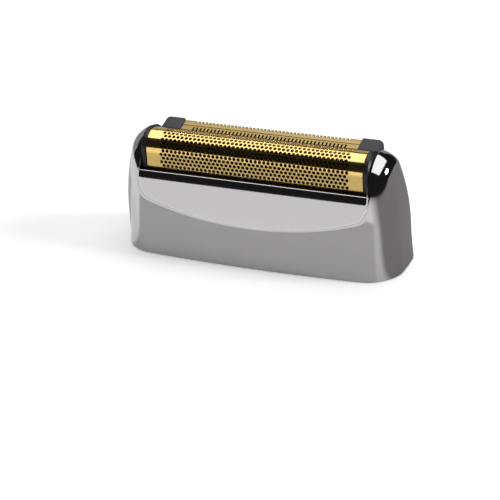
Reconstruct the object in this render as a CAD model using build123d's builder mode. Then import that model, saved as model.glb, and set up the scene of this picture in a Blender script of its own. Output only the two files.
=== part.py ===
"""Foil head of an electric shaver: a chromed housing that holds a cassette with one arched, perforated
foil in front and a slotted trimmer behind it. The trimmer's inner blade slides from side to side.

Frame: X runs along the head, the front looks to -Y, Z is up. The origin is the centre of the base.
"""
import os
from math import cos, radians, sin, sqrt, tan

from build123d import *

os.makedirs("parts", exist_ok=True)

# Housing, outside
head_length = 65.4  # widest, at the base
head_depth = 21.8  # widest, at the base
waist_height = 8.4  # from here up the sides draw in faster
waist_inset = 0.3  # the waist is narrower than the base by this much on each side
top_inset = 3.05  # and the top of the ends by this much
corner_radius = 6.4  # of the plan's corners
face_bow = 1.45  # rise of the long faces' shallow curve
end_bow = 1.0  # rise of the end faces' shallow curve
crown_height = 26.8  # top of the end cheeks
rim_height = 19.5  # top of the low front and back rims
facet_angle = 14.5  # lean of the flat on the upper front, from upright
facet_setback = 2.9  # how far the front rim stands behind the base
back_angle = 10.0  # lean of the back face, from upright
back_break = 5.4  # height where the back face starts to lean
cheek_round = 2.2  # rounding where the ends turn over into the cheeks
rim_round = 0.8  # rounding of the rims' outer edges
base_round = 0.5  # rounding of the base's outer edge

# Housing, inside
wall = 1.2
cheek_thickness = 6.1  # along X, from the base's end to the cheek's inner face
cheek_floor = 18.0  # underside of the cheeks
pocket_top = 22.5  # roof of the hollow in each cheek
catch_width = 9.0  # ledge on each end wall that the shaver's latch grips
catch_height = 1.4
catch_proud = 0.7
catch_level = 4.0

# Cassette frame
slip = 0.15  # clearance between the frame and the housing
flange_bottom = 12.5
flange_top = 14.0
foil_support_top = 20.5  # top of the two walls that carry the foil's legs
foil_bay_wall = 1.0
bay_end_wall = 1.2
shelf_top = 16.0  # floor under the trimmer
back_wall = 0.6
back_wall_top = 23.5
end_wall = 0.5
end_wall_top = 22.0
snap_width = 6.0  # snap noses on the frame's ends and their recesses in the housing
snap_height = 1.0
snap_proud = 0.45

# Foil
foil_radius = 4.0  # outside of the arch
foil_thickness = 0.25
foil_lean = 1.0  # the legs spread by this angle
foil_crown = 27.3
foil_fit = 0.03  # between the foil and what it lies on
hole_pitch = 2.6
hole_radius = 0.8
hole_margin = 3.2  # plain band at each end
hole_rows = 7
hole_rows_behind = 2  # rows behind the crown

# Foil end plates
plate_thickness = 1.1
plate_proud = 0.25  # stands proud of the foil
plate_gap = 0.1  # on both sides of each plate
rim_gap = 0.12  # between the plates and the front rim
boss_length = 2.1  # arched boss under each end of the foil
boss_thickness = 1.0

# Trimmer
trimmer_gap = 0.25  # from the foil to the trimmer's blocks
trimmer_tilt = 15.0  # the tops of the trimmer's parts fall to the front by this angle
block_length = 4.9
block_depth = 3.9
block_top = 26.8  # all tops of the trimmer are given at the blocks' back
block_round = 1.2
block_end_gap = 0.1
comb_width = 3.6
comb_top = 26.4
comb_bottom = 21.5
comb_wall = 0.3
comb_shoulder = 0.5
comb_seat = 2.0  # length of comb inside each block
comb_fit = 0.03
comb_groove_width = 0.3
comb_groove_depth = 0.12
slot_count = 42
slot_pitch = 0.88
slot_width = 0.42
slot_reach = 1.2  # from the comb's front towards its middle
slot_depth = 2.2  # down from the comb's top
notch_reach = 0.6  # from the comb's back towards its middle
notch_depth = 1.0
blade_clearance = 0.05
blade_wall = 0.3
blade_bottom = 22.3
blade_end_room = 1.8  # from the blade's end to the comb's end
blade_slot_width = 0.5
driver_bottom = 20.2
driver_end_room = 2.7  # from the driver's end to the blade's end
fork_gap = 3.2  # takes the shaver's drive pin
fork_prong = 1.4
fork_depth = 2.4
fork_bottom = 13.5
blade_travel = 1.0  # to each side
fork_room = 0.5  # round the fork at the end of its travel

# Trimmer springs
spring_thickness = 0.25
spring_width = 2.2
spring_span = 12.0
spring_end_room = 0.5  # from the spring's outer end to the driver's end
spring_gap = 0.08

# Sizes that follow from the ones above
half_length = head_length / 2
half_depth = head_depth / 2
facet_lean = tan(radians(facet_angle))
back_lean = tan(radians(back_angle))
front_rim_y = facet_setback - half_depth
cheek_inner_x = half_length - cheek_thickness
plate_outer_x = cheek_inner_x - plate_gap
plate_inner_x = plate_outer_x - plate_thickness
foil_length = 2 * (plate_inner_x - plate_gap)
foil_centre_z = foil_crown - foil_radius
leg_spread = tan(radians(foil_lean))
rim_inner_y = front_rim_y + wall / cos(radians(facet_angle))
foil_centre_y = rim_inner_y + rim_gap + plate_proud + foil_radius + (foil_centre_z - rim_height) * leg_spread
foil_inner_radius = foil_radius - foil_thickness
support_radius = foil_inner_radius - foil_fit
foil_back_y = foil_centre_y + foil_radius + (foil_centre_z - flange_top) * leg_spread
block_front_y = foil_back_y + trimmer_gap
block_back_y = block_front_y + block_depth
trimmer_y = block_front_y + block_depth / 2
back_wall_y = block_back_y + slip
slot_end_y = trimmer_y - comb_width / 2 + slot_reach
notch_end_y = trimmer_y + comb_width / 2 - notch_reach
block_inner_x = plate_outer_x - end_wall - block_end_gap - block_length
comb_length = 2 * (block_inner_x + comb_seat)
snap_level = (flange_bottom + flange_top) / 2
far = 2 * head_length  # reach of cutting blocks that pass right through


def drawn_in(level):
    """How much narrower the housing is at one level than at its base, on each side."""
    if level < waist_height:
        return waist_inset * (1 - ((waist_height - level) / waist_height) ** 2)
    above = (level - waist_height) / (crown_height - waist_height)
    return waist_inset + (top_inset - waist_inset) * above**2


def socket_end(level):
    """Inner face of the end walls at one level."""
    return half_length - drawn_in(level) - wall


def plan_outline(level, inset):
    """Plan of the housing at one level, drawn in by an even inset: four shallow arcs with rounded corners."""
    end_x = half_length - drawn_in(level) - inset
    face_y = half_depth - drawn_in(level) - inset
    corner_x = end_x - end_bow
    corner_y = face_y - face_bow
    with BuildSketch(Plane.XY.offset(level)) as plan:
        with BuildLine():
            ThreePointArc((-corner_x, -corner_y), (0, -face_y), (corner_x, -corner_y))
            ThreePointArc((corner_x, -corner_y), (end_x, 0), (corner_x, corner_y))
            ThreePointArc((corner_x, corner_y), (0, face_y), (-corner_x, corner_y))
            ThreePointArc((-corner_x, corner_y), (-end_x, 0), (-corner_x, -corner_y))
        make_face()
        fillet(plan.vertices(), corner_radius - inset)
    return plan.sketch


def side_profile(inset):
    """End view of the housing: upright front, leaning facet, round crown and leaning back."""
    facet_cos = cos(radians(facet_angle))
    facet_sin = sin(radians(facet_angle))
    back_cos = cos(radians(back_angle))
    back_sin = sin(radians(back_angle))
    lean = facet_lean + back_lean
    spread = half_depth + back_break * back_lean - front_rim_y + rim_height * facet_lean
    crown_radius = (spread - crown_height * lean) / (1 / facet_cos + 1 / back_cos - lean)
    centre_z = crown_height - crown_radius
    centre_y = front_rim_y + (centre_z - rim_height) * facet_lean + crown_radius / facet_cos
    radius = crown_radius - inset
    front_y = -half_depth - face_bow
    back_y = half_depth + face_bow
    front_top = (centre_y - radius * facet_cos, centre_z + radius * facet_sin)
    back_top = (centre_y + radius * back_cos, centre_z + radius * back_sin)
    front_low = (front_y, front_top[1] - (front_top[0] - front_y) / facet_lean)
    back_low = (back_y, back_top[1] - (back_y - back_top[0]) / back_lean)
    below = -crown_height
    with BuildSketch(Plane.YZ) as profile:
        with BuildLine():
            Polyline(front_top, front_low, (front_y, below), (back_y, below), back_low, back_top)
            ThreePointArc(back_top, (centre_y, centre_z + radius), front_top)
        make_face()
    return profile.sketch


def head_form(inset):
    """The housing's outer form, drawn in by an even inset."""
    with BuildPart() as form:
        loft(sections=[plan_outline(level, inset) for level in (0, waist_height, rim_height, crown_height)])
        extrude(side_profile(inset), amount=head_length, both=True, mode=Mode.INTERSECT)
    return form.part


def arch(radius, bottom, station=0):
    """Section of the foil's arch at one station along X: a half round on two legs that spread a little."""
    leg_top = foil_centre_z + radius * sin(radians(foil_lean))
    leg_y = radius * cos(radians(foil_lean))
    foot_y = leg_y + (leg_top - bottom) * leg_spread
    with BuildSketch(Plane.YZ.offset(station)) as section:
        with BuildLine():
            ThreePointArc(
                (foil_centre_y - leg_y, leg_top),
                (foil_centre_y, foil_centre_z + radius),
                (foil_centre_y + leg_y, leg_top),
            )
            Polyline(
                (foil_centre_y + leg_y, leg_top),
                (foil_centre_y + foot_y, bottom),
                (foil_centre_y - foot_y, bottom),
                (foil_centre_y - leg_y, leg_top),
            )
        make_face()
    return section.sketch


def trimmer_level(y, top):
    """Level of a tilted top at one place between the trimmer's front and back."""
    return top - (block_back_y - y) * tan(radians(trimmer_tilt))


def channel(width, top, bottom, shoulder, station=0):
    """Section of the trimmer's bars at one station along X: upright sides, bevels and a tilted top."""
    front_y = trimmer_y - width / 2
    back_y = trimmer_y + width / 2
    with BuildSketch(Plane.YZ.offset(station)) as section:
        with BuildLine():
            Polyline(
                (front_y, bottom),
                (back_y, bottom),
                (back_y, trimmer_level(back_y, top) - shoulder),
                (back_y - shoulder, trimmer_level(back_y - shoulder, top)),
                (front_y + shoulder, trimmer_level(front_y + shoulder, top)),
                (front_y, trimmer_level(front_y, top) - shoulder),
                close=True,
            )
        make_face()
    return section.sketch


def slot_cutters(width):
    """Cutters for the row of slots in the front of the trimmer's bars."""
    with BuildPart() as cutters:
        with GridLocations(slot_pitch, 1, slot_count, 1):
            with Locations((0, slot_end_y, comb_top)):
                Box(width, comb_width, 2 * slot_depth, align=(Align.CENTER, Align.MAX, Align.CENTER))
    return cutters.part


def notch_cutters(width):
    """Cutters for the row of short notches in the comb's back edge."""
    with BuildPart() as cutters:
        with GridLocations(slot_pitch, 1, slot_count, 1):
            with Locations((0, notch_end_y, comb_top)):
                Box(width, comb_width, 2 * notch_depth, align=(Align.CENTER, Align.MIN, Align.CENTER))
    return cutters.part


def inner_shoulder(shoulder, thickness):
    """Bevel that keeps a wall even round the shoulder."""
    return shoulder - thickness * (2 - sqrt(2))


def row_plane(distance):
    """Plane on the arch's axis that looks out through one row of holes, a distance along the sheet from
    the crown. Rows past the half round move down the leg."""
    turn = radians(90 - foil_lean)
    side = 1 if distance > 0 else -1
    along_arc = min(abs(distance) / foil_radius, turn)
    down_leg = abs(distance) - along_arc * foil_radius
    slide_y = side * down_leg * sin(radians(foil_lean))
    slide_z = -down_leg * cos(radians(foil_lean))
    return Plane(
        origin=(0, foil_centre_y + slide_y, foil_centre_z + slide_z),
        x_dir=(1, 0, 0),
        z_dir=(0, side * sin(along_arc), cos(along_arc)),
    )


def foil_end_plate(side):
    """Black plate that closes one end of the foil, on a narrower foot, with an arched boss inside it."""
    start = side * plate_inner_x
    with BuildPart() as plate:
        extrude(arch(foil_radius + plate_proud, rim_height + slip, start), amount=side * plate_thickness)
        extrude(arch(support_radius, flange_top, start), amount=side * plate_thickness)
        extrude(arch(support_radius, foil_support_top, start), amount=-side * boss_length)
        extrude(
            arch(support_radius - boss_thickness, flange_bottom, start),
            amount=-side * boss_length,
            mode=Mode.SUBTRACT,
        )
    return plate.part


def trimmer_block(side):
    """Block that holds one end of the comb. Its top is tilted and rounded at the outer edge."""
    start = side * block_inner_x
    with BuildPart() as block:
        with BuildSketch(Plane.YZ.offset(start)):
            with BuildLine():
                Polyline(
                    (block_front_y, shelf_top),
                    (block_back_y, shelf_top),
                    (block_back_y, block_top),
                    (block_front_y, trimmer_level(block_front_y, block_top)),
                    close=True,
                )
            make_face()
        extrude(amount=side * block_length)
        top_edges = block.faces().sort_by(Axis.Z)[-1].edges()
        outer_edge = top_edges.sort_by(lambda edge: side * edge.center().X)[-1]
        fillet(outer_edge, block_round)
        extrude(
            channel(comb_width + 2 * comb_fit, comb_top + comb_fit, comb_bottom - comb_fit, comb_shoulder, start),
            amount=side * (comb_seat + comb_fit),
            mode=Mode.SUBTRACT,
        )
    return block.part


def trimmer_spring(side):
    """Bowed leaf that stands on the shelf and presses the driver up."""
    inner_x = side * spring_start
    outer_x = side * (spring_start + spring_span)
    crest_x = (inner_x + outer_x) / 2
    crest = driver_bottom - spring_gap
    foot = shelf_top + spring_thickness
    with BuildPart() as leaf:
        with BuildSketch(Plane.XZ.offset(-trimmer_y)):
            with BuildLine():
                ThreePointArc((inner_x, shelf_top), (crest_x, crest - spring_thickness), (outer_x, shelf_top))
                Line((outer_x, shelf_top), (outer_x, foot))
                ThreePointArc((outer_x, foot), (crest_x, crest), (inner_x, foot))
                Line((inner_x, foot), (inner_x, shelf_top))
            make_face()
        extrude(amount=spring_width / 2, both=True)
    return leaf.part


# Housing: chromed shell, open below and between the two cheeks
inner_form = head_form(wall)

with BuildPart() as socket_space:
    add(inner_form)
    with Locations((0, 0, cheek_floor)):
        Box(far, far, far, align=(Align.CENTER, Align.CENTER, Align.MAX), mode=Mode.INTERSECT)

with BuildPart() as cheek_pockets:
    add(inner_form)
    Box(2 * (cheek_inner_x + wall), far, far, mode=Mode.SUBTRACT)
    with Locations((0, 0, pocket_top)):
        Box(far, far, far, align=(Align.CENTER, Align.CENTER, Align.MAX), mode=Mode.INTERSECT)

with BuildPart() as cassette_space:
    add(inner_form)
    Box(2 * cheek_inner_x, far, far, mode=Mode.INTERSECT)

with BuildPart() as rims:
    extrude(side_profile(0), amount=cheek_inner_x, both=True)
    with Locations((0, 0, rim_height)):
        Box(far, far, far, align=(Align.CENTER, Align.CENTER, Align.MIN), mode=Mode.SUBTRACT)
    fillet(rims.faces().sort_by(Axis.Z)[-1].edges().filter_by(Axis.X), rim_round)

with BuildPart() as gap_over_rims:
    with Locations((0, 0, rim_height - rim_round)):
        Box(2 * cheek_inner_x, far, far, align=(Align.CENTER, Align.CENTER, Align.MIN))
    add(rims.part, mode=Mode.SUBTRACT)

with BuildPart() as housing:
    add(head_form(0))
    caps = housing.faces().filter_by(GeomType.BSPLINE, reverse=True)
    ridge = caps.edges().filter_by(GeomType.BSPLINE).filter_by_position(Axis.Z, base_round, crown_height)
    fillet(ridge, cheek_round)
    fillet(housing.edges().group_by(Axis.Z)[0], base_round)
    add(socket_space.part, mode=Mode.SUBTRACT)
    add(cheek_pockets.part, mode=Mode.SUBTRACT)
    add(cassette_space.part, mode=Mode.SUBTRACT)
    add(gap_over_rims.part, mode=Mode.SUBTRACT)
    with GridLocations(2 * socket_end(snap_level), 1, 2, 1):
        with Locations((0, 0, snap_level)):
            Box(2 * (snap_proud + slip), snap_width + 2 * slip, snap_height + 2 * slip, mode=Mode.SUBTRACT)
    with GridLocations(2 * socket_end(catch_level), 1, 2, 1):
        with Locations((0, 0, catch_level)):
            Box(2 * catch_proud, catch_width, catch_height)
housing.part.label = "housing"
export_step(housing.part, "parts/housing.step")

# Cassette frame: a flange that fits the housing, walls under the foil and a seat for the trimmer
frame_form = head_form(wall + slip)
bay_length = foil_length - 2 * bay_end_wall
bay_width = 2 * (support_radius - foil_bay_wall)
fork_half = fork_gap / 2 + fork_prong + blade_travel + fork_room

with BuildPart() as end_towers:
    add(frame_form)
    with Locations((0, 0, flange_top)):
        Box(
            far,
            far,
            cheek_floor - flange_top,
            align=(Align.CENTER, Align.CENTER, Align.MIN),
            mode=Mode.INTERSECT,
        )
    Box(2 * (plate_outer_x + plate_gap), far, far, mode=Mode.SUBTRACT)

with BuildPart() as foil_support:
    extrude(arch(support_radius, flange_top), amount=foil_length / 2, both=True)
    with Locations((0, 0, foil_support_top)):
        Box(far, far, far, align=(Align.CENTER, Align.CENTER, Align.MIN), mode=Mode.SUBTRACT)

with BuildPart() as foil_frame:
    add(frame_form)
    with Locations((0, 0, flange_bottom)):
        Box(
            far,
            far,
            flange_top - flange_bottom,
            align=(Align.CENTER, Align.CENTER, Align.MIN),
            mode=Mode.INTERSECT,
        )
    add(end_towers.part)
    add(foil_support.part)
    seat_align = (Align.CENTER, Align.MIN, Align.MIN)
    with Locations((0, block_front_y, flange_top)):
        Box(2 * plate_outer_x, block_depth + slip + back_wall, shelf_top - flange_top, align=seat_align)
    with Locations((0, back_wall_y, flange_top)):
        Box(2 * plate_outer_x, back_wall, back_wall_top - flange_top, align=seat_align)
    with Locations((plate_outer_x - end_wall / 2, block_front_y, flange_top)):
        Box(end_wall, block_depth + slip, end_wall_top - flange_top, align=seat_align)
    with Locations((end_wall / 2 - plate_outer_x, block_front_y, flange_top)):
        Box(end_wall, block_depth + slip, end_wall_top - flange_top, align=seat_align)
    with GridLocations(2 * (socket_end(snap_level) - slip), 1, 2, 1):
        with Locations((0, 0, snap_level)):
            Box(2 * snap_proud, snap_width, snap_height)
    with Locations((0, foil_centre_y, 0)):
        Box(bay_length, bay_width, far, mode=Mode.SUBTRACT)
    with Locations((0, trimmer_y, 0)):
        Box(2 * fork_half, fork_depth + 2 * fork_room, far, mode=Mode.SUBTRACT)
foil_frame.part.label = "foil_frame"
export_step(foil_frame.part, "parts/foil_frame.step")

# Foil: one thin sheet bent into an arch, with staggered rows of holes
row_spacing = hole_pitch * sin(radians(60))
row_holes = int((foil_length - 2 * hole_margin) / hole_pitch)

with BuildPart() as foil:
    extrude(arch(foil_radius, flange_top), amount=foil_length / 2, both=True)
    extrude(arch(foil_inner_radius, flange_top), amount=foil_length / 2, both=True, mode=Mode.SUBTRACT)
    for row in range(hole_rows):
        steps = hole_rows_behind - row
        holes = row_holes - row % 2
        with BuildSketch(row_plane(steps * row_spacing)):
            with GridLocations(hole_pitch, hole_pitch, holes, 1):
                RegularPolygon(hole_radius, 6)
        extrude(amount=foil_radius + foil_thickness, mode=Mode.SUBTRACT)
foil.part.label = "foil"
export_step(foil.part, "parts/foil.step")

# Plates at the foil's two ends
for side_name, side in (("left", -1), ("right", 1)):
    plate = foil_end_plate(side)
    plate.label = f"foil_end_plate_{side_name}"
    export_step(plate, f"parts/{plate.label}.step")

# Trimmer comb: slotted channel with a groove along its top
with BuildPart() as trimmer_comb:
    extrude(channel(comb_width, comb_top, comb_bottom, comb_shoulder), amount=comb_length / 2, both=True)
    extrude(
        channel(
            comb_width - 2 * comb_wall,
            comb_top - comb_wall,
            comb_bottom,
            inner_shoulder(comb_shoulder, comb_wall),
        ),
        amount=comb_length / 2,
        both=True,
        mode=Mode.SUBTRACT,
    )
    with Locations((0, trimmer_y, trimmer_level(trimmer_y, comb_top))):
        Box(2 * block_inner_x, comb_groove_width, 2 * comb_groove_depth, mode=Mode.SUBTRACT)
    add(slot_cutters(slot_width), mode=Mode.SUBTRACT)
    add(notch_cutters(slot_width), mode=Mode.SUBTRACT)
trimmer_comb.part.label = "trimmer_comb"
export_step(trimmer_comb.part, "parts/trimmer_comb.step")

# Trimmer blade: toothed channel that slides inside the comb
blade_width = comb_width - 2 * (comb_wall + blade_clearance)
blade_top = comb_top - comb_wall - blade_clearance
blade_shoulder = inner_shoulder(comb_shoulder, comb_wall + blade_clearance)
blade_length = comb_length - 2 * blade_end_room
core_width = blade_width - 2 * blade_wall
core_top = blade_top - blade_wall
core_shoulder = inner_shoulder(blade_shoulder, blade_wall)
driver_length = blade_length - 2 * driver_end_room
spring_start = driver_length / 2 - spring_end_room - spring_span

with BuildPart() as trimmer_blade:
    extrude(channel(blade_width, blade_top, blade_bottom, blade_shoulder), amount=blade_length / 2, both=True)
    extrude(
        channel(core_width, core_top, blade_bottom, core_shoulder),
        amount=blade_length / 2,
        both=True,
        mode=Mode.SUBTRACT,
    )
    add(slot_cutters(blade_slot_width), mode=Mode.SUBTRACT)
trimmer_blade.part.label = "trimmer_blade"
export_step(trimmer_blade.part, "parts/trimmer_blade.step")

# Trimmer driver: bar inside the blade, with a fork for the shaver's drive pin
with BuildPart() as trimmer_driver:
    extrude(channel(core_width, core_top, driver_bottom, core_shoulder), amount=driver_length / 2, both=True)
    with Locations((0, trimmer_y, driver_bottom)):
        with GridLocations(fork_gap + fork_prong, fork_depth, 2, 1):
            Box(
                fork_prong,
                fork_depth,
                driver_bottom - fork_bottom,
                align=(Align.CENTER, Align.CENTER, Align.MAX),
            )
trimmer_driver.part.label = "trimmer_driver"
export_step(trimmer_driver.part, "parts/trimmer_driver.step")

# Blocks and springs at the trimmer's two ends
for side_name, side in (("left", -1), ("right", 1)):
    block = trimmer_block(side)
    block.label = f"trimmer_block_{side_name}"
    export_step(block, f"parts/{block.label}.step")
    spring = trimmer_spring(side)
    spring.label = f"trimmer_spring_{side_name}"
    export_step(spring, f"parts/{spring.label}.step")
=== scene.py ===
"""Shaver foil head: a chromed housing with an arched, perforated gold foil and a slotted trimmer behind it.

Lengths are in metres. X runs along the head, the front looks to -Y, Z is up and the base stands at Z = 0.
"""
from math import cos, pi, radians, sin, sqrt, tan

import bpy
import numpy as np
from mathutils import Matrix, Vector


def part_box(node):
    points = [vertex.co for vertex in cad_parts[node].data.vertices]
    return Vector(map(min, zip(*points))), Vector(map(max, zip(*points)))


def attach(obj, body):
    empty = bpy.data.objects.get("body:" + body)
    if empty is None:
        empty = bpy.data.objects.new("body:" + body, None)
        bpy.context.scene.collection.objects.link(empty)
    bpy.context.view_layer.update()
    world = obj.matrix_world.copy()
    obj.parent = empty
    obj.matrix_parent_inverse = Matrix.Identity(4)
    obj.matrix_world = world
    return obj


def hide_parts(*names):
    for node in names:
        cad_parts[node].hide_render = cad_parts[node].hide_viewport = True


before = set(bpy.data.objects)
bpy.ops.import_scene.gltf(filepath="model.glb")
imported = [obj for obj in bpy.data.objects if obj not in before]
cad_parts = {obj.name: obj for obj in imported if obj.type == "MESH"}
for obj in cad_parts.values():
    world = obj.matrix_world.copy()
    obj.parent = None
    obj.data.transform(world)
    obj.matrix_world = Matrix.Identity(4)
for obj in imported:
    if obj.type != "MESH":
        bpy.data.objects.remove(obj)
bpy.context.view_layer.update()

bl_info = {
    "name": "Shaver foil head",
    "version": (1, 0, 0),
    "blender": (4, 5, 0),
    "location": "View3D > Sidebar > Foil head",
    "description": "Builds the chromed housing, the perforated foil and the trimmer of a shaver head",
    "category": "Object",
}

MM = 0.001
HEAD = "head"  # body that carries everything but the trimmer's sliding blade
SIDES = (("left", -1), ("right", 1))

housing_low, housing_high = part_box("housing")
foil_low, foil_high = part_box("foil")
comb_low, comb_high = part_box("trimmer_comb")


def length(name, description, millimetres):
    """A size that a user may change."""
    return bpy.props.FloatProperty(
        name=name, description=description, default=millimetres * MM, min=0, precision=5, unit="LENGTH"
    )


def turn(name, description, degrees):
    """An angle that a user may change."""
    return bpy.props.FloatProperty(
        name=name, description=description, default=radians(degrees), subtype="ANGLE"
    )


def share(name, description, value):
    """A share between 0 and 1 that a user may change."""
    return bpy.props.FloatProperty(
        name=name, description=description, default=value, min=0, max=1, subtype="FACTOR"
    )


def colour(name, description, value):
    """A colour that a user may change."""
    return bpy.props.FloatVectorProperty(
        name=name, description=description, default=value, size=3, min=0, max=1, subtype="COLOR"
    )


class HousingSizes(bpy.types.PropertyGroup):
    """Form of the chromed shell."""

    waist: length("Waist", "Level from which the sides draw in faster", 8.4)
    waist_inset: length("Waist inset", "How much narrower the waist is than the base on each side", 0.3)
    top_inset: length("Top inset", "How much narrower the top is than the base on each side", 3.05)
    corner: length("Corner", "Radius of the plan's corners", 6.4)
    face_bow: length("Face bow", "Rise of the long faces' shallow curve", 1.45)
    end_bow: length("End bow", "Rise of the ends' shallow curve", 1)
    rim: length("Rim", "Level of the low rims between the cheeks", 19.5)
    setback: length("Setback", "How far the front rim stands behind the base", 2.9)
    facet_lean: turn("Facet lean", "Lean of the flat on the upper front", 14.5)
    back_lean: turn("Back lean", "Lean of the back face", 10)
    back_break: length("Back break", "Level where the back starts to lean", 5.4)
    wall: length("Wall", "Thickness of the shell", 1.2)
    cheek: length("Cheek", "From the end of the base to the inner face of the cheek", 6.1)
    cheek_floor: length("Cheek floor", "Underside of the cheeks", 17.8)
    crease: length("Crease", "Softness of the edge under the facet", 0.14)
    ridge: length("Ridge", "Softness of the edge where the ends turn over into the cheeks", 5)
    rim_drop: length("Rim drop", "Height of the rim's rolled outer edge", 2.4)
    rim_reach: length("Rim reach", "Width of the rim's rolled outer edge", 0.4)
    rim_fade: length("Rim fade", "Climb over which the rim's rolled edge passes into the cheeks' edge", 1.2)
    rim_inside: length("Rim inside", "From the top of the inner wall up to the rim", 0.3)
    rim_ease: length("Rim ease", "How much the rim's flat top stops short of the wall's thickness", 0.05)
    cheek_edge: length("Cheek edge", "Rounding of the cheeks' inner edges", 0.7)
    base_round: length("Base round", "Rounding of the base's outer edge", 0.5)


class FoilSizes(bpy.types.PropertyGroup):
    """Form of the perforated foil and its end plates."""

    radius: length("Radius", "Outside of the arch", 4)
    thickness: length("Thickness", "Thickness of the sheet", 0.08)
    pitch: length("Pitch", "Distance between holes in a row", 1)
    hole: length("Hole", "Radius of a hole", 0.4)
    margin: length("Margin", "Plain band at each end", 2.55)
    reach: length("Reach", "How far the rows reach down from the crown, along the sheet", 9.6)
    plate_round: length("Plate round", "Rounding of the end plates' edges", 0.22)
    plate_foot: length("Plate foot", "Level down to which the end plates stand proud of the sheet", 19.65)
    foot_inset: length("Foot inset", "From the outside of the arch in to the end plates' narrower foot", 0.28)
    foot_ease: length("Foot ease", "How much the foot stands behind the plate's two faces", 0.02)
    foot_round: length("Foot round", "Rounding of the foot's edges", 0.1)
    boss: length("Boss", "Length of the boss that carries the sheet's end", 2.1)
    boss_leg: length("Boss leg", "How far the boss goes down the legs", 2.2)
    boss_wall: length("Boss wall", "Thickness of the boss", 1)


class TrimmerSizes(bpy.types.PropertyGroup):
    """Form of the slotted comb and the blocks that hold it."""

    wall: length("Wall", "Thickness of the comb", 0.3)
    tilt: turn("Tilt", "Fall of the tops to the front", 15)
    shoulder: length("Shoulder", "Bevel along the comb's front top edge", 0.5)
    back_shoulder: length("Back shoulder", "Bevel along the comb's back top edge", 0.15)
    soft: length("Soft", "Rounding of the bevels", 0.08)
    slot: length("Slot", "Width of a slot", 0.42)
    slot_pitch: length("Slot pitch", "Distance between slots", 0.88)
    slot_count: bpy.props.IntProperty(
        name="Slots", description="Slots along the front, with as many notches behind", default=42, min=1
    )
    slot_reach: length("Slot reach", "From the comb's front towards its middle", 1.35)
    slot_depth: length("Slot depth", "Down from the comb's top", 2.2)
    notch_reach: length("Notch reach", "From the comb's back towards its middle", 0.8)
    notch_depth: length("Notch depth", "Down from the comb's top", 1)
    groove: length("Groove", "Width of the groove along the top", 0.3)
    groove_depth: length("Groove depth", "Depth of the groove along the top", 0.12)
    block_round: length("Block round", "Rounding of a block's outer top edge", 1.2)
    block_edge: length("Block edge", "Rounding of a block's other edges", 0.35)


class Finishes(bpy.types.PropertyGroup):
    """Colours of the surfaces, and the painted shade that reflections of the floor show."""

    chrome: colour("Chrome", "Dark chrome of the housing", (0.55, 0.538, 0.543))
    gold: colour("Gold", "Plating of the foil", (0.98, 0.69, 0.245))
    comb: colour("Comb", "Plating of the comb", (0.43, 0.315, 0.125))
    black: colour("Black", "Plastic of the frame and the end plates", (0.012, 0.012, 0.014))
    block: colour("Block", "Matt plastic of the trimmer's blocks", (0.062, 0.065, 0.076))
    steel: colour("Steel", "Springs", (0.52, 0.52, 0.53))
    # The blade's steel is coloured near black: painted shade for the dark inside the comb's slots
    blade: colour("Blade", "Darkened steel of the blade", (0.06, 0.058, 0.055))
    floor: colour("Floor", "Pale floor", (0.9, 0.9, 0.9))
    # Painted shade: the floor has these darker tones only where the chrome reflects it, never to the camera
    painted_front_shade: colour("Front floor", "Mirrored floor before the head's front", (0.49, 0.49, 0.49))
    painted_corner_shade: colour("Corner floor", "Mirrored floor off the front right corner", (0.62, 0.62, 0.62))
    painted_right_shade: colour("Right floor", "Mirrored floor round the head's right end", (0.23, 0.225, 0.225))


class StageSettings(bpy.types.PropertyGroup):
    """Camera, studio light and where the floor's painted shade lies in reflections."""

    azimuth: turn("Azimuth", "Camera's turn to the right of the front", 25.05)
    elevation: turn("Elevation", "Camera's height above the floor, as an angle", 27.1)
    roll: turn("Roll", "Camera's turn about its own axis", 4.13)
    distance: length("Distance", "From the head to the camera", 446.2)
    lens: bpy.props.FloatProperty(name="Lens", description="Focal length", default=144, unit="CAMERA")
    aim_right: length("Aim right", "How far the base's centre stands right of the picture's centre", 4.42)
    aim_up: length("Aim up", "How far the base's centre stands above the picture's centre", 0.51)
    room: share("Room", "Brightness of the room outside the lamps", 0.015)
    # Where the floor's painted shade lies; only reflections show it, and the darker part round the head is
    # that shade
    painted_shade_centre: length("Tone centre", "Where the floor's tones turn about, to each side of the middle", 22)
    near: length("Near", "Radius of the floor's darker part round the head", 76)
    painted_shade_fade: length("Near fade", "Width over which the darker part fades out", 14)
    glow: share("Glow", "Brightness that the camera and reflections add to the floor", 0.42)


GROUPS = {
    "foil_head_housing": HousingSizes,
    "foil_head_foil": FoilSizes,
    "foil_head_trimmer": TrimmerSizes,
    "foil_head_finishes": Finishes,
    "foil_head_stage": StageSettings,
}


def points(x, y, z):
    """Three coordinates, each an array or a number, as one array of points."""
    return np.stack(np.broadcast_arrays(*map(np.asarray, (x, y, z))), axis=-1).astype(float)


def smooth_step(value, low, high):
    """Share from 0 to 1 that eases in and out between two values."""
    part = np.clip((value - low) / (high - low), 0, 1)
    return part * part * (3 - 2 * part)


def soft_max(a, b, softness):
    """The larger of two fields. Where they differ by less than the softness, the corner is rolled over."""
    band = np.clip(1 - np.abs(a - b) / softness, 0, None)
    return np.maximum(a, b) + softness * band**2 / 4


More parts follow.
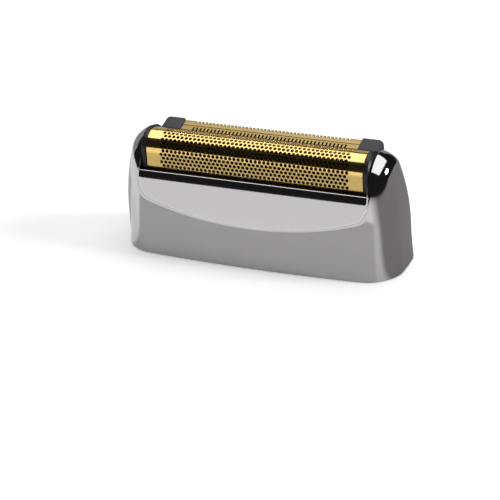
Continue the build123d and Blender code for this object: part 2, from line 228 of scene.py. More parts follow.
def plan_field(size, place):
    """How far a point is outside the rounded plan at its level: a bowed rectangle with round corners. Its
    half sides draw in from the base to the waist and then, with the square of the height, to the top."""
    x, y, z = np.moveaxis(place, -1, 0)
    half_length = housing_high.x
    half_depth = -housing_low.y
    below = np.clip((size.waist - z) / size.waist, 0, 1)
    above = np.clip((z - size.waist) / (housing_high.z - size.waist), 0, None)
    foot = np.clip(size.base_round - z, 0, size.base_round)
    inset = size.waist_inset * (1 - below**2) + (size.top_inset - size.waist_inset) * above**2
    inset = inset + size.base_round - np.sqrt(size.base_round**2 - foot**2)
    over_x = np.abs(x) - half_length + inset + size.end_bow * (y / half_depth) ** 2 + size.corner
    over_y = np.abs(y) - half_depth + inset + size.face_bow * (x / half_length) ** 2 + size.corner
    outside = np.hypot(np.clip(over_x, 0, None), np.clip(over_y, 0, None))
    return outside + np.minimum(np.maximum(over_x, over_y), 0) - size.corner


def profile_field(size, place):
    """How far a point is outside the end view: a leaning facet in front and a leaning back, both tangent to
    one crown circle. Between the two tangents the field is the distance from the circle's centre."""
    y, z = place[..., 1], place[..., 2]
    half_depth = -housing_low.y
    top = housing_high.z
    front, back = size.facet_lean, size.back_lean
    lean = tan(front) + tan(back)
    rim_y = size.setback - half_depth
    spread = half_depth + size.back_break * tan(back) - rim_y + size.rim * tan(front)
    radius = (spread - top * lean) / (1 / cos(front) + 1 / cos(back) - lean)
    centre_z = top - radius
    centre_y = rim_y + (centre_z - size.rim) * tan(front) + radius / cos(front)
    y, z = y - centre_y, z - centre_z
    front_side = z * sin(front) - y * cos(front)
    back_side = z * sin(back) + y * cos(back)
    over_crown = (z * cos(front) + y * sin(front) > 0) & (z * cos(back) - y * sin(back) > 0)
    return np.where(over_crown, np.hypot(y, z), np.maximum(front_side, back_side)) - radius


def head_field(size, place):
    """How far a point is outside the whole head. The edge between plan and end view is a fine crease low down
    and widens into a roll over the cheeks."""
    share_up = smooth_step(place[..., 2], size.rim, housing_high.z)
    softness = size.crease + (size.ridge - size.crease) * share_up
    return soft_max(plan_field(size, place), profile_field(size, place), softness)


def onto_head(size, centre, toward, depth=0):
    """Points where rays from inner centres reach the head's skin, or the skin a depth inside it. The head is
    convex, so halving the step between an inner and an outer point closes in on the skin."""
    ray = toward - centre
    ray = ray / np.linalg.norm(ray, axis=-1, keepdims=True)
    inner = np.zeros(ray.shape[:-1])
    outer = np.full(ray.shape[:-1], 2 * housing_high.x)
    for _ in range(40):
        middle = (inner + outer) / 2
        outside = head_field(size, centre + ray * middle[..., None]) > -depth
        outer = np.where(outside, middle, outer)
        inner = np.where(outside, inner, middle)
    return centre + ray * inner[..., None]


def between(start, end, count):
    """Rings of points at even steps along the straight lines from a start ring to an end ring."""
    return start + (end - start) * np.linspace(0, 1, count)[:, None, None]


def grid_faces(rows, columns, close_rows=False, close_columns=False):
    """Quads of a grid of rows and columns, joined to the start where asked."""
    row = np.arange(rows if close_rows else rows - 1)
    column = np.arange(columns if close_columns else columns - 1)
    row, column = np.meshgrid(row, column, indexing="ij")
    next_row, next_column = (row + 1) % rows, (column + 1) % columns
    corners = (row, column), (row, next_column), (next_row, next_column), (next_row, column)
    return np.stack([r * columns + c for r, c in corners], axis=-1).reshape(-1, 4)


def outward(verts, faces):
    """Faces of a closed surface, turned round if they enclose a negative volume."""
    a, b, c, d = (verts[faces[:, corner]] for corner in range(4))
    volume = np.einsum("ij,ij->i", a, np.cross(b, c)) + np.einsum("ij,ij->i", a, np.cross(c, d))
    return faces if volume.sum() > 0 else faces[:, ::-1]


def piece(name, verts, faces, material, slot, nodes, body=HEAD, sharp=35):
    """One finished object that stands for CAD nodes: smooth faces with the sharp edges kept."""
    mesh = bpy.data.meshes.new(name)
    mesh.from_pydata(np.asarray(verts).tolist(), [], [list(face) for face in faces])
    mesh.validate()
    mesh.shade_smooth()
    mesh.set_sharp_from_angle(angle=radians(sharp))
    mesh.materials.append(material)
    made = bpy.data.objects.new(name, mesh)
    bpy.context.scene.collection.objects.link(made)
    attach(made, body)
    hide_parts(*nodes)


def shader(name):
    """A new material, its nodes, its links and its shader."""
    made = bpy.data.materials.new(name)
    made.use_nodes = True
    nodes = made.node_tree.nodes
    return made, nodes, made.node_tree.links, nodes["Principled BSDF"]


def noise_on_object(nodes, links, scale, stretch=(1, 1, 1), detail=2):
    """Noise on the object's own coordinates, stretched along the axes."""
    place = nodes.new("ShaderNodeTexCoord")
    mapping = nodes.new("ShaderNodeMapping")
    mapping.inputs["Scale"].default_value = stretch
    noise = nodes.new("ShaderNodeTexNoise")
    noise.inputs["Scale"].default_value = scale
    noise.inputs["Detail"].default_value = detail
    links.new(place.outputs["Object"], mapping.inputs["Vector"])
    links.new(mapping.outputs["Vector"], noise.inputs["Vector"])
    return noise.outputs["Fac"]


def ranged(nodes, links, value, low, high):
    """A texture's 0 to 1 mapped to a range."""
    made = nodes.new("ShaderNodeMapRange")
    made.inputs["To Min"].default_value = low
    made.inputs["To Max"].default_value = high
    links.new(value, made.inputs["Value"])
    return made.outputs["Result"]


def bump(nodes, links, value, shader_node, height, strength):
    """Fine relief from a texture."""
    made = nodes.new("ShaderNodeBump")
    made.inputs["Distance"].default_value = height
    made.inputs["Strength"].default_value = strength
    links.new(value, made.inputs["Height"])
    links.new(made.outputs["Normal"], shader_node.inputs["Normal"])


def tinted(nodes, links, value, low, high, stops=()):
    """A texture's 0 to 1 mapped between two colours, with more colours at stops between them."""
    ramp = nodes.new("ShaderNodeValToRGB")
    ramp.color_ramp.elements[0].color = (*low, 1)
    ramp.color_ramp.elements[1].color = (*high, 1)
    for position, tone in stops:
        ramp.color_ramp.elements.new(position).color = (*tone, 1)
    links.new(value, ramp.inputs["Fac"])
    return ramp.outputs["Color"]


def mixed(nodes, links, share_of, low, high):
    """Two colours mixed by a share. Each is another node's output or a plain colour."""
    made = nodes.new("ShaderNodeMix")
    made.data_type = "RGBA"
    links.new(share_of, made.inputs[0])
    for socket, value in ((made.inputs[6], low), (made.inputs[7], high)):  # the node's colours A and B
        if isinstance(value, bpy.types.NodeSocket):
            links.new(value, socket)
        else:
            socket.default_value = (*value, 1)
    return made.outputs[2]


def share_between(nodes, links, value, start, end, easing="LINEAR"):
    """Share from 0 to 1 of a value's way from a start to an end."""
    made = nodes.new("ShaderNodeMapRange")
    made.interpolation_type = easing
    made.inputs["From Min"].default_value = start
    made.inputs["From Max"].default_value = end
    links.new(value, made.inputs["Value"])
    return made.outputs["Result"]


def dimmed(value, part):
    """A part of a colour's brightness."""
    return tuple(channel * part for channel in value)


def chrome_material(finish):
    """Dark chrome: a mirror with faint cloudy wear in its gloss."""
    made, nodes, links, metal = shader("dark_chrome")
    metal.inputs["Metallic"].default_value = 1
    cloud = noise_on_object(nodes, links, scale=160)
    tone = tinted(nodes, links, cloud, dimmed(finish.chrome, 0.96), finish.chrome)
    links.new(ranged(nodes, links, cloud, low=0.035, high=0.075), metal.inputs["Roughness"])
    links.new(tone, metal.inputs["Base Color"])
    return made


def gold_material(name, base, low, high):
    """Gold plating with fine rolling streaks along the head. Its roughness goes from low to high."""
    made, nodes, links, metal = shader(name)
    metal.inputs["Metallic"].default_value = 1
    streak = noise_on_object(nodes, links, scale=900, stretch=(0.04, 1, 1), detail=3)
    links.new(ranged(nodes, links, streak, low, high), metal.inputs["Roughness"])
    links.new(tinted(nodes, links, streak, dimmed(base, 0.9), base), metal.inputs["Base Color"])
    return made


def plastic_material(name, base, roughness, grain):
    """Moulded plastic with a fine spark-eroded grain."""
    made, nodes, links, plastic = shader(name)
    spread = 0.06  # of the roughness, to each side
    fine = noise_on_object(nodes, links, scale=grain, detail=4)
    links.new(tinted(nodes, links, fine, dimmed(base, 0.75), base), plastic.inputs["Base Color"])
    links.new(ranged(nodes, links, fine, roughness - spread, roughness + spread), plastic.inputs["Roughness"])
    bump(nodes, links, fine, plastic, height=0.02 * MM, strength=0.35)
    return made


def steel_material(name, base):
    """Ground steel with streaks along the head."""
    made, nodes, links, metal = shader(name)
    metal.inputs["Metallic"].default_value = 1
    streak = noise_on_object(nodes, links, scale=1500, stretch=(0.03, 1, 1), detail=3)
    links.new(ranged(nodes, links, streak, low=0.22, high=0.4), metal.inputs["Roughness"])
    links.new(tinted(nodes, links, streak, dimmed(base, 0.85), base), metal.inputs["Base Color"])
    return made


def column_rays(size, hub_x, hub_y):
    """Rays from inner points to the top edge and to the base of each of the housing's columns, and which
    columns are a cheek's. The columns go along the front rim, over the right cheek, along the back rim and
    over the left cheek. Rays to the top turn over the cheeks in the planes of their inner faces, and rays to
    the base fan round each end from its hub. Along the rims both go straight out."""
    rim_steps, cheek_steps = 140, 90
    rim, cheek = np.ones(rim_steps), np.ones(cheek_steps)
    inner_x = housing_high.x - size.cheek
    along = np.linspace(-inner_x, inner_x, rim_steps, endpoint=False)
    over = np.linspace(0, pi, cheek_steps, endpoint=False)
    corner = onto_head(size, points(inner_x, 0, 0)[None], points(inner_x, -1, 0)[None])[0]
    fan = np.arctan2(-corner[1], inner_x - hub_x)
    sweep = fan * (2 * over / pi - 1)
    top_hub = [
        points(along, hub_y, size.rim),
        points(inner_x * cheek, hub_y, size.rim),
        points(-along, hub_y, size.rim),
        points(-inner_x * cheek, hub_y, size.rim),
    ]
    top_ray = [
        points(0, -rim, 0),
        points(0, -np.cos(over), np.sin(over)),
        points(0, rim, 0),
        points(0, np.cos(over), np.sin(over)),
    ]
    base_hub = [
        points(along, 0, 0),
        points(hub_x * cheek, 0, 0),
        points(-along, 0, 0),
        points(-hub_x * cheek, 0, 0),
    ]
    base_ray = [
        points(0, -rim, 0),
        points(np.cos(sweep), np.sin(sweep), 0),
        points(0, rim, 0),
        points(-np.cos(sweep), -np.sin(sweep), 0),
    ]
    is_cheek = [rim == 0, cheek == 1, rim == 0, cheek == 1]
    return [np.concatenate(parts) for parts in (top_hub, top_ray, base_hub, base_ray, is_cheek)]


def housing_surface(size):
    """Closed shell as rings around the head. Each column runs from the base's inner edge up the inside, over
    the rim or the cheek, and down the outside to the base. The outer skin is the straight line from the top
    edge to the base, pushed out onto the head's field."""
    skin_steps, roll_steps, wall_steps, face_steps = 120, 10, 14, 8
    hub_x = 0.66 * housing_high.x  # well inside each end, so that rays from there meet the skin squarely
    hub_y = -0.1 * housing_high.y
    hub_sink = 0.6  # share by which the rays' starts lie below the skin's points at the top
    cheek_share = 0.9  # width of the cheeks' underside against their edge
    top_hub, top_ray, base_hub, base_ray, is_cheek = column_rays(size, hub_x, hub_y)
    edge = onto_head(size, top_hub, top_hub + top_ray)
    base = onto_head(size, base_hub, base_hub + base_ray)

    # Rounding of the top edge: tall on the rims, small and even on the cheeks
    near_rim = np.exp(-(((edge[:, 2] - size.rim) / size.rim_fade) ** 2))
    drop = size.cheek_edge + (size.rim_drop - size.cheek_edge) * near_rim
    step_in = size.cheek_edge + (size.rim_reach - size.cheek_edge) * near_rim
    start = drop / np.linalg.norm(edge - base, axis=-1)

    # Outer skin, close-ringed at its top and its foot
    share_down = (1 - np.cos(np.linspace(0, pi, skin_steps))) / 2
    share_down = start + (1 - start) * share_down[:, None]
    guess = edge + (base - edge) * share_down[..., None]
    level = guess[..., 2] / housing_high.z
    centre_z = guess[..., 2] * (1 - hub_sink * level)
    centre = points(np.clip(guess[..., 0], -hub_x, hub_x), hub_y * level, centre_z)
    skin = onto_head(size, centre, guess)

    # Rolled edge: a curve from the skin to the inner face that is drawn to the sharp edge
    lip = edge - top_ray * step_in[:, None]
    roll = np.linspace(1, 0, roll_steps)[1:-1, None, None]
    rolled = (1 - roll) ** 2 * skin[0] + 2 * roll * (1 - roll) * edge + roll**2 * lip

    # Inside: up the inner wall, under the solid cheek and up its face, or over the rim's flat top
    level_up = np.where(is_cheek, size.cheek_floor, size.rim - size.rim_inside)
    lift = np.linspace(0, 1, wall_steps)[:, None] * level_up
    wall_hub = base_hub + points(0, 0, lift)
    inner_wall = onto_head(size, wall_hub, wall_hub + base_ray, size.wall)
    under_rim = edge - top_ray * (size.wall - size.rim_ease)
    under_cheek = points(edge[:, 0], hub_y + cheek_share * (edge[:, 1] - hub_y), size.cheek_floor)
    under = np.where(is_cheek[:, None], under_cheek, under_rim)
    face = between(under, lip, face_steps)

    rings = np.concatenate([inner_wall, face, rolled, skin])
    verts = rings.reshape(-1, 3)
    faces = grid_faces(len(rings), rings.shape[1], close_rows=True, close_columns=True)
    return verts, outward(verts, faces)


def thick_sheet(flat_quads, bend, thickness):
    """A sheet given as quads in its flat plane. Corners that meet are shared, both faces are bent into place
    and every open edge, the holes too, gets a wall between the faces."""
    corners = np.round(flat_quads.reshape(-1, 2), 8)
    flat, index = np.unique(corners, axis=0, return_inverse=True)
    faces = index.reshape(-1, 4)
    count = len(flat)
    verts = np.concatenate([bend(flat, 0), bend(flat, thickness)])
    starts, ends = faces.ravel(), np.roll(faces, -1, axis=1).ravel()
    key = np.minimum(starts, ends) * count + np.maximum(starts, ends)
    _, where, uses = np.unique(key, return_index=True, return_counts=True)
    open_edge = where[uses == 1]
    a, b = starts[open_edge], ends[open_edge]
    walls = np.stack([b, a, a + count, b + count], axis=-1)
    faces = np.concatenate([faces, faces[:, ::-1] + count, walls])
    return verts, outward(verts, faces)


def cells(across, up):
    """Quads of a plain flat grid between two lists of cuts."""
    left, low = np.meshgrid(across[:-1], up[:-1], indexing="ij")
    right, high = np.meshgrid(across[1:], up[1:], indexing="ij")
    corners = [(left, low), (right, low), (right, high), (left, high)]
    return np.stack([np.stack(corner, axis=-1) for corner in corners], axis=-2).reshape(-1, 4, 2)


def arch_place(flat, inset, radius, centre_y, centre_z, lean):
    """Bends a flat sheet over the foil's arch: the first coordinate runs along the head, the second is the
    distance from the crown towards the front. Past the round part the sheet goes straight down the legs."""
    along, distance = flat[:, 0], flat[:, 1]
    side = np.sign(distance)
    angle = np.minimum(np.abs(distance) / radius, pi / 2 - lean)
    leg = np.abs(distance) - angle * radius
    reach = radius - inset
    y = centre_y - side * (reach * np.sin(angle) + leg * sin(lean))
    z = centre_z + reach * np.cos(angle) - leg * cos(lean)
    return points(along, y, z)


def foil_arch(size):
    """Centre of the foil's arch, lean of its legs and the length of sheet from crown to foot."""
    centre_y = (foil_low.y + foil_high.y) / 2
    centre_z = foil_high.z - size.radius
    half_foot = (foil_high.y - foil_low.y) / 2
    lean = np.arctan2(half_foot - size.radius, centre_z - foil_low.z)
    leg = (centre_z - foil_low.z + size.radius * sin(lean)) / cos(lean)
    return centre_y, centre_z, lean, size.radius * (pi / 2 - lean) + leg


def foil_surface(size):
    """Perforated sheet. Every hole is a ring of quads between a circle and its oblong cell. Every second row
    is moved by half a pitch, and plain half cells square off the rows' ends."""
    centre_y, centre_z, lean, sheet = foil_arch(size)
    pitch = size.pitch
    spacing = pitch * sqrt(3) / 2
    rows = 2 * int(size.reach / spacing)
    holes = int((foil_high.x - foil_low.x - 2 * size.margin) / pitch - 0.5)
    zone = (holes + 0.5) * pitch / 2
    zone_up = rows * spacing / 2

    ring = np.radians(np.arange(12) * 30)
    circle = size.hole * np.stack([np.cos(ring), np.sin(ring)], axis=-1)
    right, top = pitch / 2, spacing / 2
    half_cell = [(right, 0), (right, top), (right / 2, top), (0, top), (-right / 2, top), (-right, top)]
    cell = np.concatenate([half_cell, -np.array(half_cell)])
    template = np.stack([cell, np.roll(cell, -1, axis=0), np.roll(circle, -1, axis=0), circle], axis=1)

    row, hole = np.meshgrid(np.arange(rows), np.arange(holes), indexing="ij")
    middle_x = (hole + 0.5 + 0.5 * (row % 2)) * pitch - zone
    middle_t = (row + 0.5) * spacing - zone_up
    middle = np.stack([middle_x, middle_t], axis=-1).reshape(-1, 1, 1, 2)
    pierced = (middle + template).reshape(-1, 4, 2)

    filler = cells(np.linspace(0, pitch / 2, 3), np.linspace(0, spacing, 3))
    row = np.arange(rows)
    corner = np.stack([np.where(row % 2, -zone, zone - pitch / 2), row * spacing - zone_up], axis=-1)
    fillers = (corner[:, None, None] + filler).reshape(-1, 4, 2)

    half = (foil_high.x - foil_low.x) / 2
    ends = np.linspace(zone, half, 7)
    level = np.linspace(-zone_up, zone_up, 2 * rows + 1)
    legs = np.linspace(zone_up, sheet, 8)
    whole = np.concatenate([-ends[:0:-1], np.linspace(-zone, zone, 4 * holes + 3), ends[1:]])
    plain = [cells(ends, level), cells(-ends[::-1], level), cells(whole, legs), cells(whole, -legs[::-1])]
    quads = np.concatenate([pierced, fillers, *plain])

    def bend(flat, inset):
        return arch_place(flat, inset, size.radius, centre_y, centre_z, lean)

    return thick_sheet(quads, bend, size.thickness)


def rounded_prism(outline, normals, low, high, edge, axis):
    """A closed outline carried straight along one axis. Near both ends it shrinks along its normals by a
    quarter circle, so that the edges are round, and flat caps close it."""
    turn_in = np.linspace(0, pi / 2, 6)
    shrink = edge * (1 - np.sin(turn_in))
    travel = edge * (1 - np.cos(turn_in))
    shrink = np.concatenate([shrink, shrink[::-1]])
    travel = np.concatenate([low + travel, high - travel[::-1]])
    flat = outline - shrink[:, None, None] * normals
    station = np.broadcast_to(travel[:, None], flat.shape[:2])
    order = {"x": (station, flat[..., 0], flat[..., 1]), "y": (flat[..., 0], station, flat[..., 1])}
    rings = points(*order[axis])
    count = rings.shape[1]
    verts = rings.reshape(-1, 3)
    sides = outward_closed(verts, grid_faces(len(rings), count, close_columns=True), count)
    return verts, sides


def outward_closed(verts, sides, count):
    """Side quads and two end caps of a prism, all facing outwards."""
    first = np.arange(count)
    last = first + len(verts) - count
    middle = verts.mean(axis=0)
    a, b, c = (verts[sides[:, corner]] for corner in range(3))
    face_out = np.einsum("ij,ij->i", np.cross(b - a, c - a), a - middle).sum() > 0
    faces = [list(face) for face in (sides if face_out else sides[:, ::-1])]
    caps = [list(first[::-1]), list(last)] if face_out else [list(first), list(last[::-1])]
    return faces + caps


def round_corner(corner, radius, start):
    """Quarter circle and its normals at an oblong's corner. The start is the angle of its first normal."""
    angle = start + np.linspace(0, pi / 2, 9)
    normals = np.stack([np.cos(angle), np.sin(angle)], axis=-1)
    inward = np.array([np.cos(start + pi / 4), np.sin(start + pi / 4)]) * sqrt(2) * radius
    return np.asarray(corner) - inward + radius * normals, normals


def oblong(low, high, radii):
    """Outline and normals of an oblong with its own radius at each corner, from the lower left round."""
    corners = [(low[0], low[1]), (high[0], low[1]), (high[0], high[1]), (low[0], high[1])]
    starts = [pi, 1.5 * pi, 0, pi / 2]
    parts = [round_corner(*corner) for corner in zip(corners, radii, starts)]
    return tuple(np.concatenate(arrays) for arrays in zip(*parts))


def arch_outline(radius, centre_y, centre_z, bottom):
    """Outline and normals of an arch plate: a half circle on two upright legs with a flat foot."""
    angle = np.linspace(0, pi, 49)
    crown = np.stack([np.cos(angle), np.sin(angle)], axis=-1)
    leg_normals = np.array([[-1, 0], [-1, -1], [1, -1], [1, 0]])
    outline = np.array([centre_y, centre_z]) + radius * crown
    knee = centre_z + 0.6 * (bottom - centre_z)  # a point on each leg, above its corner
    left, right = centre_y - radius, centre_y + radius
    legs = np.array([[left, knee], [left, bottom], [right, bottom], [right, knee]])
    return np.concatenate([outline, legs]), np.concatenate([crown, leg_normals])


def joined(*parts):
    """Several surfaces as the verts and faces of one piece."""
    verts, faces, count = [], [], 0
    for part_verts, part_faces in parts:
        verts.append(part_verts)
        faces += [[int(index) + count for index in face] for face in part_faces]
        count += len(part_verts)
    return np.concatenate(verts), faces


def end_plate_surface(size, node, side):
    """Black plate at one end of the foil: an arch that stands a little proud of the sheet, a narrower foot
    and the boss that carries the sheet's end."""
    low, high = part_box(node)
    centre_y, centre_z, lean, _ = foil_arch(size)
    proud = high.z - centre_z
    inner = size.radius - size.foot_inset
    near, far = (low.x + size.boss, high.x) if side > 0 else (low.x, high.x - size.boss)
    arch = arch_outline(proud, centre_y, centre_z, size.plate_foot)
    plate = rounded_prism(*arch, near, far, size.plate_round, "x")
    narrow = arch_outline(inner, centre_y, centre_z, low.z)
    foot = rounded_prism(*narrow, near + size.foot_ease, far - size.foot_ease, size.foot_round, "x")
    boss_ends = (low.x, near) if side > 0 else (far, high.x)
    half_turn = inner * (pi / 2 - lean) + size.boss_leg

    def bend(flat, inset):
        return arch_place(flat, inset, inner, centre_y, centre_z, lean)

    carried = thick_sheet(cells(boss_ends, np.linspace(-half_turn, half_turn, 41)), bend, size.boss_wall)
    return joined(plate, foot, carried)


def comb_surface(size):
    """Channel with a tilted top and bevelled edges carried along X. Its section runs from the front's foot
    over the top, with a groove along its middle, to the back's foot. The cells that lie in a slot of the
    front or in a notch of the back are left out."""
    front, back = comb_low.y, comb_high.y
    middle = (front + back) / 2
    lip = size.groove / 2
    soft = size.soft
    ease, cut = 0.12 * soft, 0.7 * soft  # a soft corner's reach at its middle and at its end

    def level(y):
        return comb_high.z - (back - size.shoulder - y) * tan(size.tilt)

    def edge(y, inward, bevel):
        """A bevelled edge with soft corners, from the side to the top."""
        side, top = level(y) - bevel, level(y + inward * bevel)
        return [
            (y, side - soft),
            (y + inward * ease, side),
            (y + inward * cut, side + cut),
            (y + inward * (bevel - cut), top - cut),
            (y + inward * bevel, top - ease),
            (y + inward * (bevel + soft), level(y + inward * (bevel + soft))),
        ]

    slot_end, notch_end = front + size.slot_reach, back - size.notch_reach
    front_part = [
        (front, comb_low.z),
        (front, level(back) - size.slot_depth),
        *edge(front, 1, size.shoulder),
        (slot_end, level(slot_end)),
    ]
    # The groove's section, as shares of its half width and of its depth
    dips = [(-1.3, 0), (-1, 0.3), (-0.7, 1), (0.7, 1), (1, 0.3), (1.3, 0)]
    groove = [(middle + lip * out, level(middle + lip * out) - size.groove_depth * dip) for out, dip in dips]
    back_part = [
        (notch_end, level(notch_end)),
        *edge(back, -1, size.back_shoulder)[::-1],
        (back, level(back) - size.notch_depth),
        (back, comb_low.z),
    ]
    path = np.array(front_part + groove + back_part)
    step = np.gradient(path, axis=0)
    normal = np.stack([-step[:, 1], step[:, 0]], axis=-1)
    normal /= np.linalg.norm(normal, axis=-1, keepdims=True)

    slots = (np.arange(size.slot_count) - (size.slot_count - 1) / 2) * size.slot_pitch
    cuts = np.sort(np.concatenate([slots - size.slot / 2, slots + size.slot / 2]))
    across = np.concatenate([[comb_low.x], cuts, [comb_high.x]])
    quads = cells(across, np.arange(len(path), dtype=float))
    centre = quads.mean(axis=1)
    in_slot = (np.searchsorted(cuts, centre[:, 0]) % 2) == 1
    in_front = (centre[:, 1] > 1) & (centre[:, 1] < len(front_part) - 1)
    in_back = (centre[:, 1] > len(path) - len(back_part)) & (centre[:, 1] < len(path) - 2)
    quads = quads[~(in_slot & (in_front | in_back))]

    def bend(flat, inset):
        at = flat[:, 1].round().astype(int)
        place = path[at] - inset * normal[at]
        return points(flat[:, 0], place[:, 0], place[:, 1])

    return thick_sheet(quads, bend, size.wall)


def block_surface(size, node, side):
    """Block that holds one end of the comb: an oblong with a large round at its outer top edge, carried
    from front to back with rounded edges. Then its points sink towards the front, the higher the more, so
    that the top is tilted and the foot stays flat."""
    low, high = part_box(node)
    small, large = size.block_edge, size.block_round
    radii = (small, small, large, small) if side > 0 else (small, small, small, large)
    outline, normals = oblong((low.x, low.z), (high.x, high.z), radii)
    verts, faces = rounded_prism(outline, normals, low.y, high.y, small, "y")
    height = (verts[:, 2] - low.z) / (high.z - low.z)
    verts[:, 2] -= (high.y - verts[:, 1]) * tan(size.tilt) * height
    return verts, faces


def cad_finish(node, material):
    """Gives a CAD node that keeps its own shape a finish."""
    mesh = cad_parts[node].data
    mesh.materials.clear()
    mesh.materials.append(material)


class HEAD_OT_housing(bpy.types.Operator):
    """Makes the chromed shell"""

    bl_idname = "foil_head.housing"
    bl_label = "Housing"

    def execute(self, context):
        scene = context.scene
        verts, faces = housing_surface(scene.foil_head_housing)
        material = chrome_material(scene.foil_head_finishes)
        piece("housing_shell", verts, faces, material, "dark_chrome", ["housing"], sharp=40)
        return {"FINISHED"}


class HEAD_OT_foil(bpy.types.Operator):
    """Makes the perforated foil and its end plates"""

    bl_idname = "foil_head.foil"
    bl_label = "Foil"

    def execute(self, context):
        scene = context.scene
        size = scene.foil_head_foil
        gold = gold_material("gold_foil", scene.foil_head_finishes.gold, low=0.1, high=0.17)
        piece("foil_sheet", *foil_surface(size), gold, "gold_foil", ["foil"])
        black = plastic_material("black_plate", scene.foil_head_finishes.black, roughness=0.42, grain=5000)
        for name, side in SIDES:
            node = f"foil_end_plate_{name}"
            piece(f"foil_plate_{name}", *end_plate_surface(size, node, side), black, "black_plastic", [node])
        return {"FINISHED"}


class HEAD_OT_trimmer(bpy.types.Operator):
    """Makes the slotted comb and the blocks at its ends"""

    bl_idname = "foil_head.trimmer"
    bl_label = "Trimmer"

    def execute(self, context):
        scene = context.scene
        size = scene.foil_head_trimmer
        gold = gold_material("gold_comb", scene.foil_head_finishes.comb, low=0.3, high=0.4)
        piece("comb_channel", *comb_surface(size), gold, "gold_comb", ["trimmer_comb"])
        matt = plastic_material("matt_block", scene.foil_head_finishes.block, roughness=0.6, grain=4000)
        for name, side in SIDES:
            node = f"trimmer_block_{name}"
            piece(f"comb_block_{name}", *block_surface(size, node, side), matt, "block_plastic", [node])
        return {"FINISHED"}


class HEAD_OT_inside(bpy.types.Operator):
    """Gives the frame and the parts inside their finish"""

    bl_idname = "foil_head.inside"
    bl_label = "Inside"

    def execute(self, context):
        finish = context.scene.foil_head_finishes
        plastic = plastic_material("frame_plastic", finish.black, roughness=0.5, grain=4500)
        cad_finish("foil_frame", plastic)
        plastic = plastic_material("driver_plastic", finish.black, roughness=0.55, grain=4500)
        cad_finish("trimmer_driver", plastic)
        # The blade's dark colour is painted shade inside the comb's slots
        cad_finish("trimmer_blade", steel_material("blade_steel", finish.blade))
        steel = steel_material("spring_steel", finish.steel)
        for name, _ in SIDES:
            cad_finish(f"trimmer_spring_{name}", steel)
        return {"FINISHED"}


def tones_round(nodes, links, place, centre, *stops):
    """Tones that turn about a point on the head's long axis. Each stop is a share of the full turn, which
    starts at the left and comes over the front, and the tone there."""
    moved = nodes.new("ShaderNodeMapping")
    moved.inputs["Location"].default_value = (-centre, 0, 0)
    angle = nodes.new("ShaderNodeTexGradient")
    angle.gradient_type = "RADIAL"
    links.new(place, moved.inputs["Vector"])
    links.new(moved.outputs["Vector"], angle.inputs["Vector"])
    return tinted(nodes, links, angle.outputs["Fac"], stops[0][1], stops[-1][1], stops[1:-1])


def painted_reflection_shade(nodes, links, place, finish, stage):
    """Painted shade on the floor, as the chrome shows it. Near the head it is grey in front, paler off the
    right corner and dark round the right end. Farther out it is dark only on the right."""
    pale, front, corner, right = finish.floor, finish.painted_front_shade, finish.painted_corner_shade, finish.painted_right_shade
    end = stage.painted_shade_centre
    # Where the painted shade starts, is full and ends
    front_from, front_full, front_to = 0.09, 0.115, 0.985  # shares of the turn about the left end
    corner_from, corner_full, corner_to = 0.345, 0.36, 0.38  # and about the right end
    right_full, right_to = 0.41, 0.72
    right_side = (right_full, right), (right_to, right), (1, pale)
    left_front = (front_from, pale), (front_full, front), (front_to, front), (1, pale)
    right_front = (corner_from, front), (corner_full, corner), (corner_to, corner)
    far = tones_round(nodes, links, place, end, (0, pale), (corner_from, pale), *right_side)
    near_left = tones_round(nodes, links, place, -end, (0, pale), *left_front)
    near_right = tones_round(nodes, links, place, end, (0, front), *right_front, *right_side)

    across = nodes.new("ShaderNodeSeparateXYZ")
    links.new(place, across.inputs["Vector"])
    to_right = share_between(nodes, links, across.outputs["X"], -end / 4, end / 4)
    near = mixed(nodes, links, to_right, near_left, near_right)
    distance = nodes.new("ShaderNodeVectorMath")
    distance.operation = "LENGTH"
    links.new(place, distance.inputs[0])
    fade = stage.near + stage.painted_shade_fade
    closeness = share_between(nodes, links, distance.outputs["Value"], fade, stage.near, "SMOOTHSTEP")
    return mixed(nodes, links, closeness, far, near)


def floor_material(finish, stage):
    """Matt floor, plain and pale to the camera, with painted shade that only reflections show. Rays from the
    camera, from metal and through glass see it glow, and other rays don't."""
    made, nodes, links, surface = shader("pale_floor")
    surface.inputs["Roughness"].default_value = 0.9
    surface.inputs["Specular IOR Level"].default_value = 0
    place = nodes.new("ShaderNodeTexCoord").outputs["Object"]
    path = nodes.new("ShaderNodeLightPath").outputs
    reflected_painted_shade = painted_reflection_shade(nodes, links, place, finish, stage)
    # Reflections see the floor's painted shade; the camera sees the plain floor colour
    tint = mixed(nodes, links, path["Is Glossy Ray"], finish.floor, reflected_painted_shade)
    seen = path["Is Camera Ray"]
    for kind in ("Is Glossy Ray", "Is Transmission Ray"):
        either = nodes.new("ShaderNodeMath")
        either.operation = "MAXIMUM"
        links.new(seen, either.inputs[0])
        links.new(path[kind], either.inputs[1])
        seen = either.outputs["Value"]
    links.new(tint, surface.inputs["Base Color"])
    links.new(tint, surface.inputs["Emission Color"])
    links.new(ranged(nodes, links, seen, low=0, high=stage.glow), surface.inputs["Emission Strength"])
    return made


def lamp(name, place, target, width, height, radiance):
    """Oblong lamp that looks at a target. Its power is its brightness times pi times its area."""
    light = bpy.data.lights.new(name, "AREA")
    light.shape = "RECTANGLE"
    light.size = width
    light.size_y = height
    light.energy = radiance * pi * width * height
    made = bpy.data.objects.new(name, light)
    direction = Vector(target) - Vector(place)
    made.matrix_world = Matrix.Translation(place) @ direction.to_track_quat("-Z", "Y").to_matrix().to_4x4()
    bpy.context.scene.collection.objects.link(made)


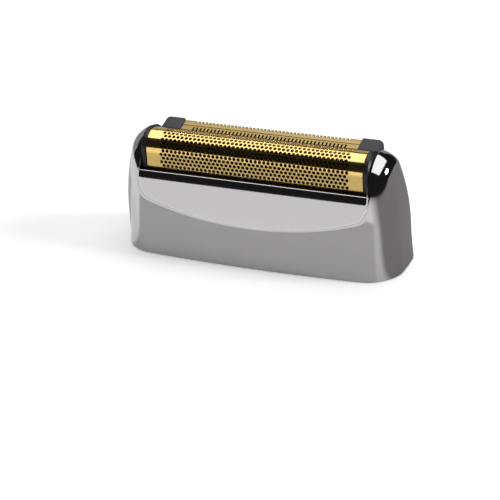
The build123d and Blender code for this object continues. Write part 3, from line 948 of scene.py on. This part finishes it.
class HEAD_OT_stage(bpy.types.Operator):
    """Sets the pale floor, the softboxes and the camera"""

    bl_idname = "foil_head.stage"
    bl_label = "Stage"

    def execute(self, context):
        scene = context.scene
        stage = scene.foil_head_stage
        self.floor(scene, floor_material(scene.foil_head_finishes, stage))
        self.room(scene, stage)
        self.camera(scene, stage)
        self.lamps()
        scene.view_settings.view_transform = "Standard"
        return {"FINISHED"}

    def floor(self, scene, material):
        """A wide flat square under the head."""
        half = 2.0
        corners = points(np.array([-half, half, half, -half]), np.array([-half, -half, half, half]), 0)
        mesh = bpy.data.meshes.new("floor")
        mesh.from_pydata(corners.tolist(), [], [[0, 1, 2, 3]])
        mesh.materials.append(material)
        made = bpy.data.objects.new("floor", mesh)
        scene.collection.objects.link(made)

    def lamps(self):
        """Main light from above, one lamp for the right end, a low strip for the foil and a card behind."""
        base, middle = (0, 0, 0), (0, 0, 0.03)
        lamp("overhead_softbox", (0, 0.125, 0.5), (0, 0.125, 0), width=0.66, height=0.65, radiance=1.65)
        lamp("side_softbox", (0.81, 0.14, 0.57), base, width=0.25, height=0.25, radiance=19)
        lamp("front_strip", (-0.24, -0.55, 0.03), middle, width=0.6, height=0.06, radiance=1)
        lamp("back_card", (-0.65, 0.68, 0.3), middle, width=1.9, height=0.6, radiance=0.35)

    def room(self, scene, stage):
        """A dim even room round the lamps."""
        world = bpy.data.worlds.new("room")
        world.use_nodes = True
        background = world.node_tree.nodes["Background"]
        background.inputs["Color"].default_value = (1, 1, 1, 1)
        background.inputs["Strength"].default_value = stage.room
        scene.world = world

    def camera(self, scene, stage):
        """Long lens that looks at the head from its front right, a little from above."""
        a, e = stage.azimuth, stage.elevation
        right = Vector((cos(a), sin(a), 0))
        up = Vector((-sin(a) * sin(e), cos(a) * sin(e), cos(e)))
        back = right.cross(up)
        tilted_right = right * cos(stage.roll) - up * sin(stage.roll)
        tilted_up = up * cos(stage.roll) + right * sin(stage.roll)
        aim = -tilted_right * stage.aim_right - tilted_up * stage.aim_up
        data = bpy.data.cameras.new("camera")
        data.lens = stage.lens
        data.sensor_width = 36
        data.clip_start = 0.01
        made = bpy.data.objects.new("camera", data)
        turned = Matrix((tilted_right, tilted_up, back)).transposed().to_4x4()
        made.matrix_world = Matrix.Translation(aim + back * stage.distance) @ turned
        scene.collection.objects.link(made)
        scene.camera = made


class HEAD_PT_panel(bpy.types.Panel):
    """Lists the pieces and their sizes"""

    bl_idname = "HEAD_PT_panel"
    bl_label = "Foil head"
    bl_space_type = "VIEW_3D"
    bl_region_type = "UI"
    bl_category = "Foil head"

    def draw(self, context):
        for group, kind in GROUPS.items():
            box = self.layout.box()
            box.label(text=kind.__doc__)
            for name in kind.__annotations__:
                box.prop(getattr(context.scene, group), name)
        for operator in OPERATORS:
            self.layout.operator(operator.bl_idname)


OPERATORS = (HEAD_OT_housing, HEAD_OT_foil, HEAD_OT_trimmer, HEAD_OT_inside, HEAD_OT_stage)
CLASSES = (*GROUPS.values(), *OPERATORS, HEAD_PT_panel)


def register():
    """Adds the classes and one group of settings of each kind to the scene."""
    for kind in CLASSES:
        bpy.utils.register_class(kind)
    for name, kind in GROUPS.items():
        setattr(bpy.types.Scene, name, bpy.props.PointerProperty(type=kind))


def unregister():
    """Takes the settings and the classes away again."""
    for name in GROUPS:
        delattr(bpy.types.Scene, name)
    for kind in reversed(CLASSES):
        bpy.utils.unregister_class(kind)


def main():
    """Builds every piece and the stage."""
    register()
    bpy.ops.foil_head.housing()
    bpy.ops.foil_head.foil()
    bpy.ops.foil_head.trimmer()
    bpy.ops.foil_head.inside()
    bpy.ops.foil_head.stage()


if __name__ == "__main__":
    main()
